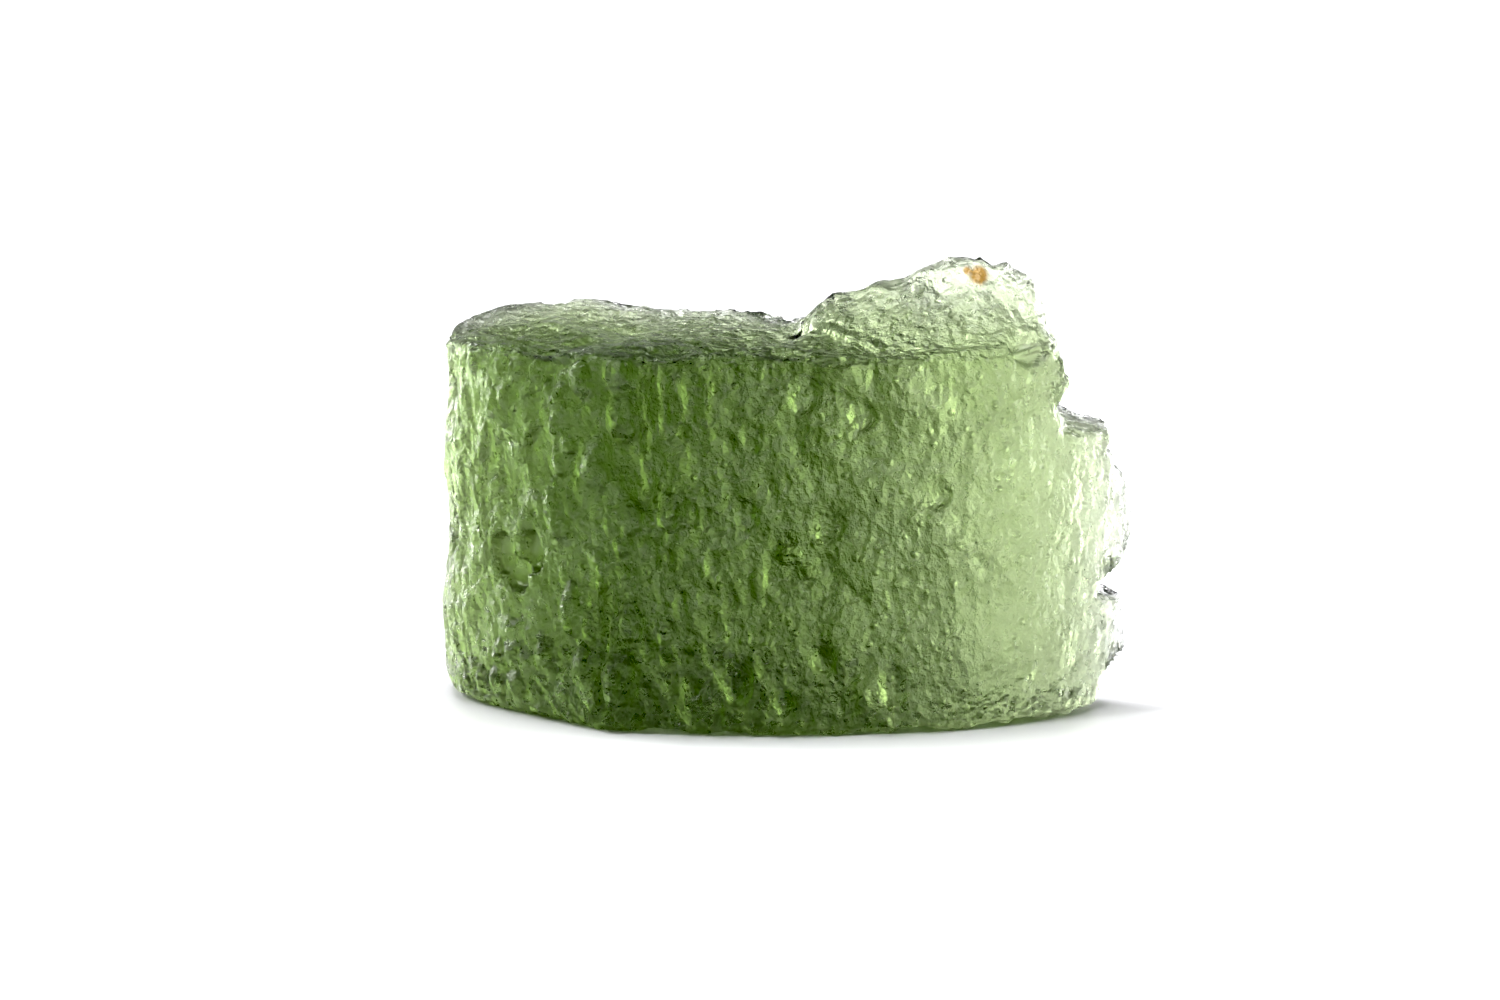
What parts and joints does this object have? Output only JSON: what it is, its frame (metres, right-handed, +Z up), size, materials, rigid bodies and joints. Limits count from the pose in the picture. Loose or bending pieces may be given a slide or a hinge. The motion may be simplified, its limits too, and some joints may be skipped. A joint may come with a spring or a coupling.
{
  "type": "moldavite",
  "caption": "Loose piece of clear green natural glass with a tall curved front, a lump on top and a thin broken end, pitted all over, resting on its flat underside.",
  "frame": {"origin": "under the middle of the stone, on the plane that it stands on", "axes": "+X towards the thin broken end, -Y out of the curved front, +Z up"},
  "size_m": [0.0198, 0.0116, 0.0128],
  "materials": {
    "tektite_glass": "clear bottle-green natural glass with an etched, pitted skin and a wet lustre"
  },
  "bodies": {
    "root": {"moldavite": "tektite_glass"}
  },
  "joints": []
}
